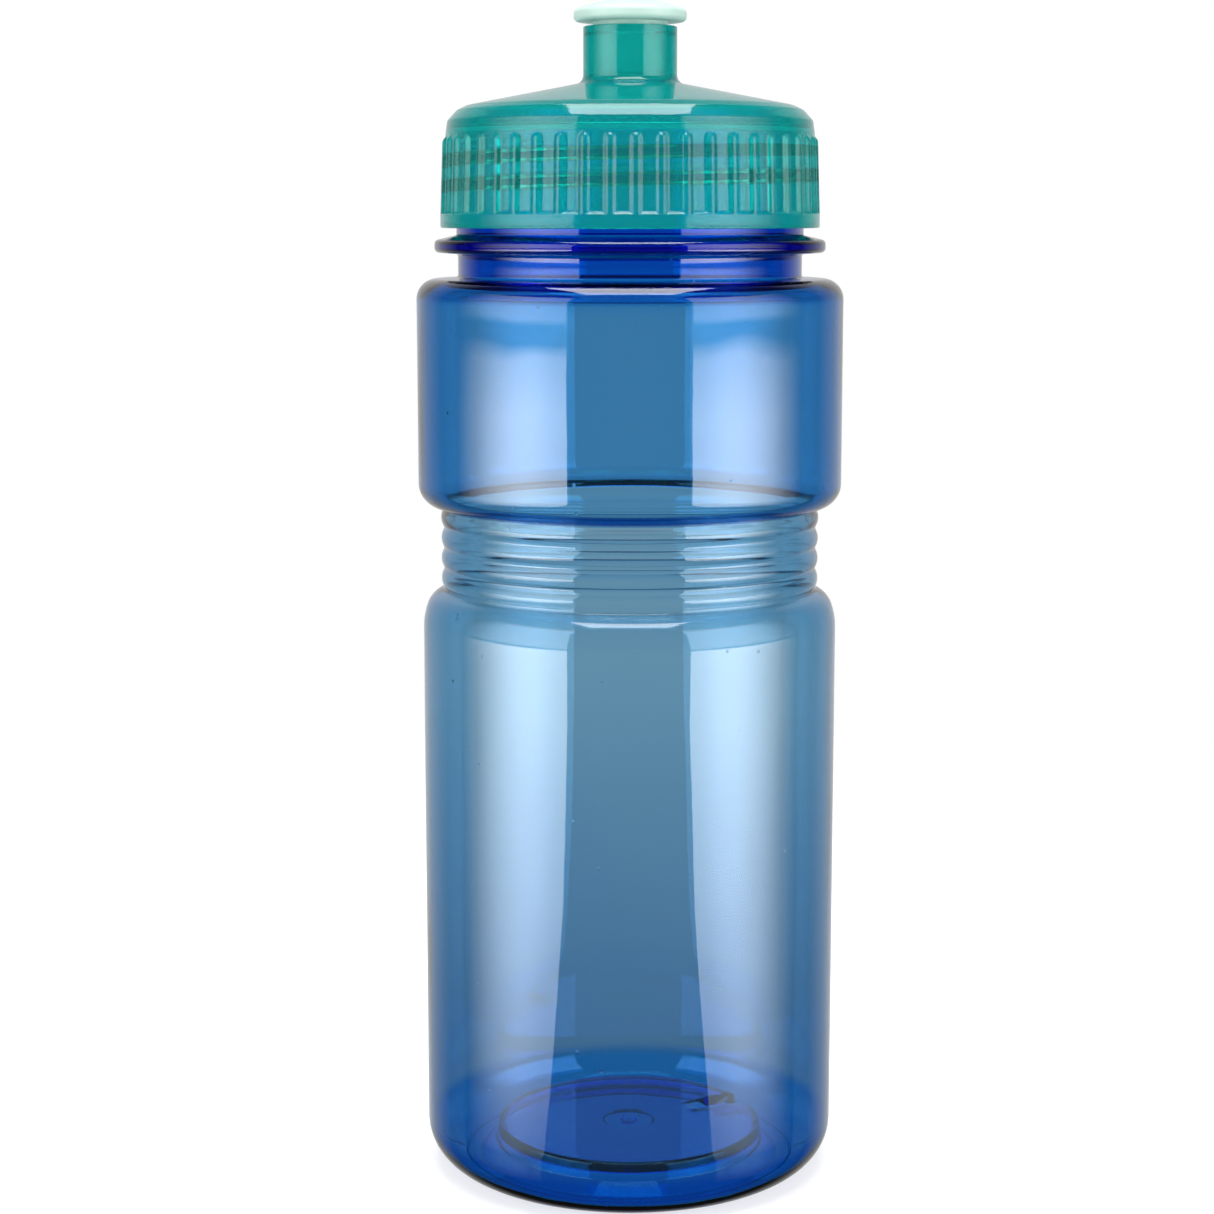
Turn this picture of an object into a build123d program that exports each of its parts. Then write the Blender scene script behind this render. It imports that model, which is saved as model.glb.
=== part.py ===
"""Sports squeeze bottle: a blow-moulded bottle, a screw cap with a spout tower, its sealing gasket and
a push-pull nozzle. Millimetres and degrees. +Z is up, the origin is the centre of the base's resting
plane, and every height named ..._Z is above that plane."""

from build123d import *
from math import atan, cos, degrees, radians, sin, tan
import os

# ---- Corner roundings that several pieces share ----
CRISP = 0.15
FINE = 0.2
SMALL = 0.3
EASED = 0.5
SOFT = 0.8

# ---- Bottle body, outside ----
BAND_RADIUS = 36.5            # widest part, the band under the shoulder
BODY_RADIUS = 35.8            # straight lower body, the part a holder takes
NECK_RADIUS = 29.6            # neck finish outside its thread
THROAT_RADIUS = 29.35         # neck below the support ring
NECK_BORE_RADIUS = 27.8
RIM_Z = 180.4                 # top of the neck
RING_TOP_Z = 163.5
RING_BOTTOM_Z = 160.6
RING_RADIUS = 33.35           # support ring
RING_BEVEL = 0.9              # fall of the support ring's top face towards its edge
SHOULDER_Z = 156.0            # edge of the shoulder, if it were not rounded
SHOULDER_RISE = 0.35          # rise of the shoulder's flat top towards the neck
SHOULDER_ROUND = 3.5
BAND_BOTTOM_Z = 117.35        # underside of the band
BAND_FOOT_ROUND = 3.9
HEEL_ROUND = 8.0

# ---- Ribbed waist ----
WAIST_TOP_Z = 117.0
WAIST_BOTTOM_Z = 103.0
WAIST_RIBS = 4
WAIST_VALLEY_RADIUS = 32.05   # where two ribs' flanks would meet if the valley were not rounded
WAIST_RIB_APEX = 32.95        # where a rib's own flanks would meet if it were not rounded
WAIST_RIB_ROUND = 2.6
WAIST_VALLEY_ROUND = 1.1
WAIST_FOOT_ROUND = 0.6        # under the lowest rib, where the flare begins
FLARE_STEP = 1.0              # the flare below the waist widens to this much less than the body,
FLARE_KNEE_DROP = 1.6         # this far under the waist,
FLARE_FOOT_DROP = 5.2         # and joins the straight body this far under it
FLARE_KNEE_ROUND = 4.0
FLARE_FOOT_ROUND = 9.0

# ---- Bottle body, walls ----
SHOULDER_WALL = 1.2
BAND_WALL = 1.0
WAIST_WALL = 0.6
BODY_WALL = 0.5
HEEL_WALL = 1.1
BASE_WALL = 2.0

# ---- Base push-up ----
LAND_INNER_RADIUS = 25.8      # inner edge of the flat ring that the bottle stands on
PLATFORM_RADIUS = 22.3        # raised disc in the middle of the base
PLATFORM_Z = 4.6              # underside of the raised disc
STEP_FOOT_Z = 2.5             # foot of the raised disc's step
STEP_DRAFT = 0.5              # how much the step leans out towards its foot
GATE_RADIUS = 4.6             # shallow ring left round the preform's gate
GATE_DEPTH = 0.35
GATE_PIP_RADIUS = 1.1         # pip left where the preform was gated
GATE_PIP_DROP = 0.3
INDEX_NOTCH_ANGLE = 28.0      # the mould's indexing notch in the disc's rim, from +X towards +Y
INDEX_NOTCH_LENGTH = 7.5      # along the radius
INDEX_NOTCH_WIDTH = 4.6

# ---- Screw thread, 6 per inch, single start, right-hand ----
PITCH = 25.4 / 6
THREAD_HEIGHT = 1.1
THREAD_ROOT_SINK = 0.15       # how far a ridge's foot is buried in its wall
THREAD_ROOT_HALF_WIDTH = 1.2
THREAD_CREST_HALF_WIDTH = 0.5
NECK_THREAD_FRONT_Z = 174.7   # height of the neck's thread where it passes -Y
NECK_THREAD_START = -160.0
NECK_THREAD_END = 250.0
CAP_THREAD_START = -290.0
CAP_THREAD_END = 300.0

# ---- Screw cap ----
CAP_BOTTOM_Z = 164.7
CAP_BAND_RADIUS = 32.3        # plain band round the cap's lower edge, flush with the grip ribs
CAP_BAND_TOP_Z = 167.0
SKIRT_RADIUS = 31.75          # skirt between the grip ribs
SKIRT_TOP_RADIUS = 31.3
SKIRT_TOP_Z = 180.5
CAP_BORE_RADIUS = 30.9
BORE_CHAMFER = 1.0            # height of the lead-in at the bore's mouth
CAP_SEAT_Z = 181.2            # underside that the gasket bears on
GRIP_RIBS = 48
GRIP_RIB_RADIUS = 1.15
GRIP_RIB_TOP_Z = 180.1
GRIP_RIB_PHASE = 1.7
EDGE_BAND_RADIUS = 31.0       # smooth band between the grip ribs and the deck
EDGE_BAND_Z = 182.6
DECK_EDGE_RADIUS = 29.4
DECK_EDGE_Z = 184.35
DECK_OUTER_RADIUS = 27.8      # where the conical deck turns down to its edge
DECK_OUTER_ROUND = 3.0
DECK_SLOPE = 0.195            # fall of the conical deck per millimetre of radius
DECK_Z_AT_TOWER = 189.0       # height of the deck's cone at the tower's wall
DECK_WALL = 1.3
INNER_DECK_RADIUS = 27.2

# ---- Spout tower, its spider and its post ----
TOWER_RADIUS = 7.95
TOWER_FOOT_ROUND = 1.6
TOWER_TOP_Z = 198.3
TOWER_BORE_RADIUS = 6.95
TOWER_LIP_RADIUS = 6.4        # lip inside the tower's top that stops the nozzle
TOWER_LIP_Z = 196.7
TOWER_FOOT_WALL = 1.0
POST_RADIUS = 3.2
POST_FOOT_DROP = 1.0          # the post's foot hangs this far under the spider
POST_TIP_RADIUS = 2.45
POST_SHOULDER_Z = 198.6
POST_TIP_Z = 202.2
SPIDER_BOTTOM_Z = 185.4
SPIDER_TOP_Z = 187.2
SPIDER_ARMS = 4
SPIDER_ARM_WIDTH = 1.4
SPIDER_PHASE = 45.0

# ---- Push-pull nozzle ----
NOZZLE_RADIUS = 6.25
NOZZLE_BORE_RADIUS = 4.9
NOZZLE_BOTTOM_Z = 188.4
NOZZLE_FLANGE_RADIUS = 9.55
NOZZLE_FLANGE_Z = 199.1       # underside of the mouthpiece flange
NOZZLE_FLANGE_THICKNESS = 2.0
NOZZLE_DOME_ROUND = 8.0
NOZZLE_TOP_Z = 202.65
NOZZLE_HOLE_RADIUS = 2.53
NOZZLE_ROOF_Z = 200.0
NOZZLE_ROOF_TAPER = 1.6       # height over which the bore narrows to the hole
SEAL_RIBS = 3                 # rings that wipe the tower's bore
SEAL_RIB_RADIUS = 6.85
SEAL_RIB_PITCH = 0.75
SEAL_RIB_HEIGHT = 0.45

# ---- Gasket ----
GASKET_INNER_RADIUS = 27.0
GASKET_OUTER_RADIUS = 30.6
GASKET_CLEARANCE = 0.02       # between the gasket and each face it bears on


def outline(corners):
    """A closed face in the XZ plane from (radius, z, rounding) corners, each rounded by a tangent arc."""
    arcs = []
    for i, (x, z, rounding) in enumerate(corners):
        x0, z0, _ = corners[i - 1]
        x1, z1, _ = corners[(i + 1) % len(corners)]
        back = Vector(x0 - x, 0, z0 - z).normalized()
        ahead = Vector(x1 - x, 0, z1 - z).normalized()
        corner = Vector(x, 0, z)
        if rounding == 0:
            arcs.append((corner, None, corner))
            continue
        half = radians(back.get_angle(ahead)) / 2
        reach = rounding / tan(half)
        inward = (back + ahead).normalized()
        middle = corner + inward * (rounding / sin(half) - rounding)
        arcs.append((corner + back * reach, middle, corner + ahead * reach))
    edges = []
    for i, (start, middle, end) in enumerate(arcs):
        if middle is not None:
            edges.append(Edge.make_three_point_arc(start, middle, end))
        following = arcs[(i + 1) % len(arcs)][0]
        if (following - end).length > 1e-6:
            edges.append(Edge.make_line(end, following))
    return Face(Wire(edges))


def turned(corners):
    """The solid of revolution about Z of an outline."""
    return revolve(outline(corners), Axis.Z)


def thread(root_radius, crest_radius, front_z, start, end):
    """A single-start right-hand thread ridge from start to end, in degrees about Z, from +X towards +Y.
    front_z is the height of the ridge's middle where it passes -Y."""
    first_z = front_z + PITCH * (start + 90) / 360
    path = Helix(PITCH, PITCH * (end - start) / 360, root_radius)
    path = Pos(0, 0, first_z) * Rot(0, 0, start) * path
    out = Vector(cos(radians(start)), sin(radians(start)), 0)
    foot = out * root_radius + Vector(0, 0, first_z)
    plane = Plane(origin=foot, x_dir=out, z_dir=path % 0)
    depth = crest_radius - root_radius
    section = make_face(Polyline(
        (0, -THREAD_ROOT_HALF_WIDTH),
        (depth, -THREAD_CREST_HALF_WIDTH),
        (depth, THREAD_CREST_HALF_WIDTH),
        (0, THREAD_ROOT_HALF_WIDTH),
        close=True,
    ))
    return sweep(plane * section, path=path, is_frenet=True)


def waist_ribs(wall):
    """Corners of the waist's rounded ribs, from the top down, on a surface this wall inside the outer one."""
    step = (WAIST_TOP_Z - WAIST_BOTTOM_Z) / WAIST_RIBS
    corners = []
    for i in range(WAIST_RIBS):
        top = WAIST_TOP_Z - i * step
        if i > 0:
            corners.append((WAIST_VALLEY_RADIUS - wall, top, WAIST_VALLEY_ROUND + wall))
        corners.append((WAIST_RIB_APEX - wall, top - step / 2, WAIST_RIB_ROUND - wall))
    return corners


def bottle_outside():
    """Corners of the bottle's outer surface, from the rim down to the middle of the base."""
    ring_undercut = 0.3
    band_undercut = 0.1
    gate_slope = 0.3
    return [
        (NECK_BORE_RADIUS, RIM_Z, SMALL),
        (NECK_RADIUS, RIM_Z, EASED),
        (NECK_RADIUS, RING_TOP_Z, SMALL),
        (RING_RADIUS, RING_TOP_Z - RING_BEVEL, SOFT),
        (RING_RADIUS, RING_BOTTOM_Z, SOFT),
        (THROAT_RADIUS, RING_BOTTOM_Z - ring_undercut, EASED),
        (THROAT_RADIUS, SHOULDER_Z + SHOULDER_RISE, EASED),
        (BAND_RADIUS, SHOULDER_Z, SHOULDER_ROUND),
        (BAND_RADIUS, BAND_BOTTOM_Z, BAND_FOOT_ROUND),
        (WAIST_VALLEY_RADIUS, BAND_BOTTOM_Z - band_undercut, SMALL),
        *waist_ribs(0),
        (WAIST_VALLEY_RADIUS, WAIST_BOTTOM_Z, WAIST_FOOT_ROUND),
        (BODY_RADIUS - FLARE_STEP, WAIST_BOTTOM_Z - FLARE_KNEE_DROP, FLARE_KNEE_ROUND),
        (BODY_RADIUS, WAIST_BOTTOM_Z - FLARE_FOOT_DROP, FLARE_FOOT_ROUND),
        (BODY_RADIUS, 0, HEEL_ROUND),
        (LAND_INNER_RADIUS, 0, SOFT),
        (PLATFORM_RADIUS + STEP_DRAFT, STEP_FOOT_Z, SMALL),
        (PLATFORM_RADIUS, PLATFORM_Z, EASED),
        (GATE_RADIUS, PLATFORM_Z, FINE),
        (GATE_RADIUS - gate_slope, PLATFORM_Z + GATE_DEPTH, FINE),
        (GATE_PIP_RADIUS + gate_slope, PLATFORM_Z + GATE_DEPTH, FINE),
        (GATE_PIP_RADIUS, PLATFORM_Z - GATE_PIP_DROP, FINE),
        (0, PLATFORM_Z - GATE_PIP_DROP, 0),
    ]


def bottle_inside():
    """Corners of the bottle's inner surface, from the middle of the base up to the rim."""
    base_top = PLATFORM_Z + BASE_WALL
    moat_radius = LAND_INNER_RADIUS + 0.6
    step_lean = 1.5
    body_bore = BODY_RADIUS - BODY_WALL
    band_bore = BAND_RADIUS - BAND_WALL
    waist_bore = WAIST_VALLEY_RADIUS - WAIST_WALL
    return [
        (0, base_top, 0),
        (PLATFORM_RADIUS + step_lean - STEP_DRAFT, base_top, SOFT),
        (PLATFORM_RADIUS + step_lean, STEP_FOOT_Z + HEEL_WALL, SOFT),
        (moat_radius, HEEL_WALL, SOFT),
        (body_bore, HEEL_WALL, HEEL_ROUND - HEEL_WALL),
        (body_bore, WAIST_BOTTOM_Z - FLARE_FOOT_DROP - BODY_WALL / 2, FLARE_FOOT_ROUND - BODY_WALL),
        (body_bore - FLARE_STEP, WAIST_BOTTOM_Z - FLARE_KNEE_DROP - BODY_WALL, FLARE_KNEE_ROUND - BODY_WALL),
        (waist_bore, WAIST_BOTTOM_Z - WAIST_WALL / 2, WAIST_FOOT_ROUND + EASED),
        *reversed(waist_ribs(WAIST_WALL)),
        (waist_bore, BAND_BOTTOM_Z + BAND_WALL, SOFT),
        (band_bore, BAND_BOTTOM_Z + BAND_WALL, BAND_FOOT_ROUND - BAND_WALL),
        (band_bore, SHOULDER_Z - SHOULDER_WALL, SHOULDER_ROUND - BAND_WALL),
        (NECK_BORE_RADIUS, SHOULDER_Z - SHOULDER_WALL + SHOULDER_RISE, 2 * SOFT),
    ]


def index_notch(grow, low_z, high_z):
    """A block for the indexing notch in the raised disc's rim, each side this much larger than the notch."""
    block = Box(INDEX_NOTCH_LENGTH + 2 * grow, INDEX_NOTCH_WIDTH + 2 * grow, high_z - low_z)
    middle_radius = PLATFORM_RADIUS + STEP_DRAFT - INDEX_NOTCH_LENGTH / 2
    return Rot(0, 0, INDEX_NOTCH_ANGLE) * Pos(middle_radius, 0, (low_z + high_z) / 2) * block


def make_bottle():
    base_top = PLATFORM_Z + BASE_WALL
    notch_wall = 0.9
    body = turned(bottle_outside() + bottle_inside())
    body += index_notch(0, STEP_FOOT_Z, base_top - notch_wall)
    body -= index_notch(-notch_wall / 2, STEP_FOOT_Z + notch_wall, base_top + 1)
    body += thread(
        NECK_RADIUS - THREAD_ROOT_SINK,
        NECK_RADIUS + THREAD_HEIGHT,
        NECK_THREAD_FRONT_Z,
        NECK_THREAD_START,
        NECK_THREAD_END,
    )
    return body


def cap_shell():
    """The skirt, the deck and the tower's tube."""
    deck_z = DECK_Z_AT_TOWER - DECK_SLOPE * (DECK_OUTER_RADIUS - TOWER_RADIUS)
    foot_radius = TOWER_BORE_RADIUS + TOWER_FOOT_WALL
    return turned([
        (TOWER_LIP_RADIUS, TOWER_TOP_Z, FINE),
        (TOWER_RADIUS, TOWER_TOP_Z, FINE),
        (TOWER_RADIUS, DECK_Z_AT_TOWER, TOWER_FOOT_ROUND),
        (DECK_OUTER_RADIUS, deck_z, DECK_OUTER_ROUND),
        (DECK_EDGE_RADIUS, DECK_EDGE_Z, EASED),
        (EDGE_BAND_RADIUS, EDGE_BAND_Z, SOFT),
        (SKIRT_TOP_RADIUS, SKIRT_TOP_Z, SOFT),
        (SKIRT_RADIUS, CAP_BAND_TOP_Z + EASED, 0),
        (CAP_BAND_RADIUS, CAP_BAND_TOP_Z, FINE),
        (CAP_BAND_RADIUS, CAP_BOTTOM_Z, SMALL),
        (CAP_BORE_RADIUS + SMALL, CAP_BOTTOM_Z, FINE),
        (CAP_BORE_RADIUS, CAP_BOTTOM_Z + BORE_CHAMFER, 0),
        (CAP_BORE_RADIUS, CAP_SEAT_Z, FINE),
        (INNER_DECK_RADIUS, CAP_SEAT_Z, SMALL),
        (INNER_DECK_RADIUS, deck_z - DECK_WALL - SOFT, SOFT),
        (foot_radius, SPIDER_BOTTOM_Z + DECK_WALL, SOFT),
        (foot_radius, SPIDER_BOTTOM_Z, SMALL),
        (TOWER_BORE_RADIUS, SPIDER_BOTTOM_Z, 0),
        (TOWER_BORE_RADIUS, TOWER_LIP_Z, CRISP),
        (TOWER_LIP_RADIUS, TOWER_LIP_Z + EASED, CRISP),
    ])


def spout_post():
    """The post that plugs the nozzle's hole when the nozzle is pushed down, and the arms that carry it."""
    post = turned([
        (0, SPIDER_BOTTOM_Z - POST_FOOT_DROP, 0),
        (POST_RADIUS - SOFT, SPIDER_BOTTOM_Z - POST_FOOT_DROP, EASED),
        (POST_RADIUS, SPIDER_BOTTOM_Z + EASED, SMALL),
        (POST_RADIUS, POST_SHOULDER_Z, EASED),
        (POST_TIP_RADIUS, POST_SHOULDER_Z + EASED, SMALL),
        (POST_TIP_RADIUS, POST_TIP_Z, SMALL),
        (0, POST_TIP_Z, 0),
    ])
    arm_height = SPIDER_TOP_Z - SPIDER_BOTTOM_Z
    arm_start = POST_RADIUS / 2
    arm_end = TOWER_BORE_RADIUS + TOWER_FOOT_WALL / 2
    arm = Box(arm_end - arm_start, SPIDER_ARM_WIDTH, arm_height)
    arm = Pos((arm_start + arm_end) / 2, 0, SPIDER_BOTTOM_Z + arm_height / 2) * arm
    for i in range(SPIDER_ARMS):
        post += Rot(0, 0, SPIDER_PHASE + i * 360 / SPIDER_ARMS) * arm
    return post


def grip_ribs():
    """The grip ribs: round bars with domed tops that lean in with the skirt, cut off inside its wall."""
    foot_z = CAP_BAND_TOP_Z - EASED
    foot_radius = CAP_BAND_RADIUS - GRIP_RIB_RADIUS
    top_z = GRIP_RIB_TOP_Z - GRIP_RIB_RADIUS
    lean = degrees(atan((SKIRT_RADIUS - SKIRT_TOP_RADIUS) / (GRIP_RIB_TOP_Z - CAP_BAND_TOP_Z)))
    length = (top_z - foot_z) / cos(radians(lean))
    bar = Pos(0, 0, length / 2) * Cylinder(GRIP_RIB_RADIUS, length)
    bar += Pos(0, 0, length) * Sphere(GRIP_RIB_RADIUS)
    bar = Pos(foot_radius, 0, foot_z) * Rot(0, -lean, 0) * bar
    bar -= Pos(0, 0, (foot_z + top_z) / 2) * Cylinder(CAP_BORE_RADIUS + SMALL, top_z)
    return [Rot(0, 0, GRIP_RIB_PHASE + i * 360 / GRIP_RIBS) * bar for i in range(GRIP_RIBS)]


def make_cap():
    ridge = thread(
        CAP_BORE_RADIUS + THREAD_ROOT_SINK,
        CAP_BORE_RADIUS - THREAD_HEIGHT,
        NECK_THREAD_FRONT_Z - PITCH / 2,
        CAP_THREAD_START,
        CAP_THREAD_END,
    )
    return cap_shell() + spout_post() + grip_ribs() + ridge


def make_gasket():
    bottom = RIM_Z + GASKET_CLEARANCE
    top = CAP_SEAT_Z - GASKET_CLEARANCE
    return turned([
        (GASKET_INNER_RADIUS, bottom, CRISP),
        (GASKET_INNER_RADIUS, top, CRISP),
        (GASKET_OUTER_RADIUS, top, CRISP),
        (GASKET_OUTER_RADIUS, bottom, CRISP),
    ])


def seal_rings():
    """Corners of the rings round the nozzle's foot, from the bottom up."""
    corners = []
    for i in range(SEAL_RIBS):
        low = NOZZLE_BOTTOM_Z + SMALL + i * SEAL_RIB_PITCH
        high = low + SEAL_RIB_HEIGHT
        draft = SEAL_RIB_HEIGHT / 4
        corners += [
            (NOZZLE_RADIUS, low, 0),
            (SEAL_RIB_RADIUS, low + draft, draft),
            (SEAL_RIB_RADIUS, high - draft, draft),
            (NOZZLE_RADIUS, high, 0),
        ]
    return corners


def make_nozzle():
    rim_radius = NOZZLE_FLANGE_RADIUS / 2
    rim_drop = 0.1
    return turned([
        (NOZZLE_BORE_RADIUS, NOZZLE_BOTTOM_Z, CRISP),
        (NOZZLE_RADIUS, NOZZLE_BOTTOM_Z, 0),
        *seal_rings(),
        (NOZZLE_RADIUS, NOZZLE_FLANGE_Z, FINE),
        (NOZZLE_FLANGE_RADIUS, NOZZLE_FLANGE_Z, SOFT),
        (NOZZLE_FLANGE_RADIUS, NOZZLE_FLANGE_Z + NOZZLE_FLANGE_THICKNESS, SOFT),
        (rim_radius, NOZZLE_TOP_Z - rim_drop, NOZZLE_DOME_ROUND),
        (NOZZLE_HOLE_RADIUS, NOZZLE_TOP_Z, SMALL),
        (NOZZLE_HOLE_RADIUS, NOZZLE_ROOF_Z, FINE),
        (NOZZLE_BORE_RADIUS - SOFT, NOZZLE_ROOF_Z - FINE, FINE),
        (NOZZLE_BORE_RADIUS, NOZZLE_ROOF_Z - NOZZLE_ROOF_TAPER, SOFT),
    ])


def main():
    os.makedirs("parts", exist_ok=True)
    nodes = {
        "bottle_body": make_bottle(),
        "screw_cap": make_cap(),
        "cap_gasket": make_gasket(),
        "push_pull_nozzle": make_nozzle(),
    }
    for name, shape in nodes.items():
        export_step(shape, f"parts/{name}.step")


main()
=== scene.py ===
"""Looks of the sports squeeze bottle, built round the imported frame: a clear blue bottle, a
translucent teal screw cap, a frosted mint nozzle and a silicone gasket. Lengths are millimetres
until a mesh is made, angles are degrees, and +Z is up from the plane the bottle stands on. The
materials and the studio are in metres."""

from math import ceil, cos, degrees, hypot, pi, radians, sin, sqrt, tan

import bpy
from mathutils import Euler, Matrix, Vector


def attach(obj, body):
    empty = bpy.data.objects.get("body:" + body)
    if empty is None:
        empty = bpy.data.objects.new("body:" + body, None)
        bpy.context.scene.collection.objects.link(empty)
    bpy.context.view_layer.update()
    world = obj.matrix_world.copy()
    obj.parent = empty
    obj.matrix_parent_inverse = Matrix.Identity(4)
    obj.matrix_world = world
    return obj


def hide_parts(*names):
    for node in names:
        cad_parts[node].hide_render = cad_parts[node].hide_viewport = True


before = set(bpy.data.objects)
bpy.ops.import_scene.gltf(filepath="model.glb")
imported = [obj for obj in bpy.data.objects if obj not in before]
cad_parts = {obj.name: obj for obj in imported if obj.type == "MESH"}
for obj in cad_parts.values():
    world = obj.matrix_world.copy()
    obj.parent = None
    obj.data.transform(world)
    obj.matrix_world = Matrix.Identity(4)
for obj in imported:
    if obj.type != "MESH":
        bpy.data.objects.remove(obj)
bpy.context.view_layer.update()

MM = 0.001
TINY = 1e-6                   # below this a length counts as nothing

# ---- Corner roundings that several pieces share ----
CRISP = 0.15
FINE = 0.2
SMALL = 0.3
EASED = 0.5
SOFT = 0.8

# ---- Bottle, outside ----
BAND_RADIUS = 36.5
BODY_RADIUS = 35.8
NECK_RADIUS = 29.6
THROAT_RADIUS = 29.35
NECK_BORE_RADIUS = 27.8
RIM_Z = 180.4
RING_TOP_Z = 163.5
RING_BOTTOM_Z = 160.6
RING_RADIUS = 33.35
RING_BEVEL = 0.9
SHOULDER_Z = 156.0
SHOULDER_RISE = 0.35
SHOULDER_ROUND = 3.5
BAND_BOTTOM_Z = 117.35
BAND_FOOT_ROUND = 3.9
HEEL_ROUND = 8.0
WAIST_TOP_Z = 117.0
WAIST_BOTTOM_Z = 103.0
WAIST_RIBS = 4
WAIST_VALLEY_RADIUS = 32.05
WAIST_RIB_APEX = 32.95
WAIST_RIB_ROUND = 2.6
WAIST_VALLEY_ROUND = 1.1
WAIST_FOOT_ROUND = 0.6
FLARE_STEP = 1.0
FLARE_KNEE_DROP = 1.6
FLARE_FOOT_DROP = 5.2
FLARE_KNEE_ROUND = 4.0
FLARE_FOOT_ROUND = 9.0

# ---- Bottle, walls and base ----
SHOULDER_WALL = 1.2
BAND_WALL = 1.0
WAIST_WALL = 0.6
BODY_WALL = 0.5
HEEL_WALL = 1.1
BASE_WALL = 2.0
LAND_INNER_RADIUS = 25.8
PLATFORM_RADIUS = 22.3
PLATFORM_Z = 4.6
STEP_FOOT_Z = 2.5
STEP_DRAFT = 0.5
GATE_RADIUS = 4.6
GATE_DEPTH = 0.35
GATE_PIP_RADIUS = 1.1
GATE_PIP_DROP = 0.3
INDEX_NOTCH_ANGLE = 28.0
INDEX_NOTCH_LENGTH = 7.5
INDEX_NOTCH_WIDTH = 4.6
INDEX_NOTCH_WALL = 0.9
INDEX_NOTCH_EDGE = 0.7
INSERT_RADIUS = 29.0          # parting line round the mould's base insert
SEAM_WIDTH = 0.35             # parting lines
UNEVEN_OUTSIDE = 0.03         # waviness of the blown wall's two surfaces
UNEVEN_INSIDE = 0.07
UNEVEN_FADE_LOW = 12.0        # heights over which it dies out above the heel
UNEVEN_FADE_HIGH = 4.0        # and below the shoulder
UNEVEN_WAVES = (              # share, waves round the bottle, drift with height, phase
    (0.5, 2, 31, 0.4),
    (0.3, 3, -19, 1.9),
    (0.25, 5, 12, 4.1),
    (0.15, 9, -8, 0),
)

# ---- Screw thread ----
PITCH = 25.4 / 6
THREAD_HEIGHT = 1.1
THREAD_ROOT_HALF_WIDTH = 1.2
THREAD_CREST_HALF_WIDTH = 0.5
THREAD_FADE = 25.0
NECK_THREAD_FRONT_Z = 174.7
NECK_THREAD_START = -160.0
NECK_THREAD_END = 250.0
CAP_THREAD_START = -290.0
CAP_THREAD_END = 300.0

# ---- Screw cap ----
CAP_BOTTOM_Z = 164.7
CAP_BAND_RADIUS = 32.3
CAP_BAND_TOP_Z = 167.0
SKIRT_RADIUS = 31.75
SKIRT_TOP_RADIUS = 31.3
SKIRT_TOP_Z = 180.5
CAP_BORE_RADIUS = 30.9
BORE_CHAMFER = 1.0
CAP_SEAT_Z = 181.2
GRIP_RIBS = 48
GRIP_RIB_RADIUS = 1.15
GRIP_RIB_TOP_Z = 180.1
GRIP_RIB_PHASE = 1.7
GRIP_RIB_BLEND = 0.12
EDGE_BAND_RADIUS = 31.0
EDGE_BAND_Z = 182.6
DECK_EDGE_RADIUS = 29.4
DECK_EDGE_Z = 184.35
DECK_OUTER_RADIUS = 27.8
DECK_OUTER_ROUND = 3.0
DECK_SLOPE = 0.195
DECK_Z_AT_TOWER = 189.0
DECK_WALL = 1.3
INNER_DECK_RADIUS = 27.2

# ---- Spout tower, spider and post ----
TOWER_RADIUS = 7.95
TOWER_FOOT_ROUND = 1.6
TOWER_TOP_Z = 198.3
TOWER_BORE_RADIUS = 6.95
TOWER_LIP_RADIUS = 6.4
TOWER_LIP_Z = 196.7
TOWER_FOOT_WALL = 1.0
POST_RADIUS = 3.2
POST_FOOT_DROP = 1.0
POST_TIP_RADIUS = 2.45
POST_SHOULDER_Z = 198.6
POST_TIP_Z = 202.2
SPIDER_BOTTOM_Z = 185.4
SPIDER_TOP_Z = 187.2
SPIDER_ARMS = 4
SPIDER_ARM_WIDTH = 1.4
SPIDER_PHASE = 45.0
SPIDER_ARM_STEPS = 8          # in an arm's rounded underside

# ---- Push-pull nozzle ----
NOZZLE_RADIUS = 6.25
NOZZLE_BORE_RADIUS = 4.9
NOZZLE_BOTTOM_Z = 188.4
NOZZLE_FLANGE_RADIUS = 9.55
NOZZLE_FLANGE_Z = 199.1
NOZZLE_FLANGE_THICKNESS = 2.0
NOZZLE_DOME_ROUND = 8.0
NOZZLE_DOME_DROP = 0.1
NOZZLE_TOP_Z = 202.65
NOZZLE_HOLE_RADIUS = 2.53
NOZZLE_ROOF_Z = 200.0
NOZZLE_ROOF_TAPER = 1.6
SEAL_RIBS = 3
SEAL_RIB_RADIUS = 6.85
SEAL_RIB_PITCH = 0.75
SEAL_RIB_HEIGHT = 0.45

# ---- Gasket ----
GASKET_INNER_RADIUS = 27.0
GASKET_OUTER_RADIUS = 30.6
GASKET_CLEARANCE = 0.02

# ---- How finely the meshes are cut ----
ARC_STEP = 10.0               # degrees of each rounded corner between two rows
LONGEST_ROW = 4.0
RELIEF_ROW = 0.3              # rows where a thread or ribs stand out of a wall
BOTTLE_SEGMENTS = 192
CAP_SEGMENTS = 192
RIB_SEGMENTS = 16             # segments for each grip rib
NOZZLE_SEGMENTS = 128
NOZZLE_ROW = 1.0
NOTCH_ROWS = (14.0, 24.3)     # radii between which the base has close rows for its notch


# ---------------------------------------------------------------- outlines

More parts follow.
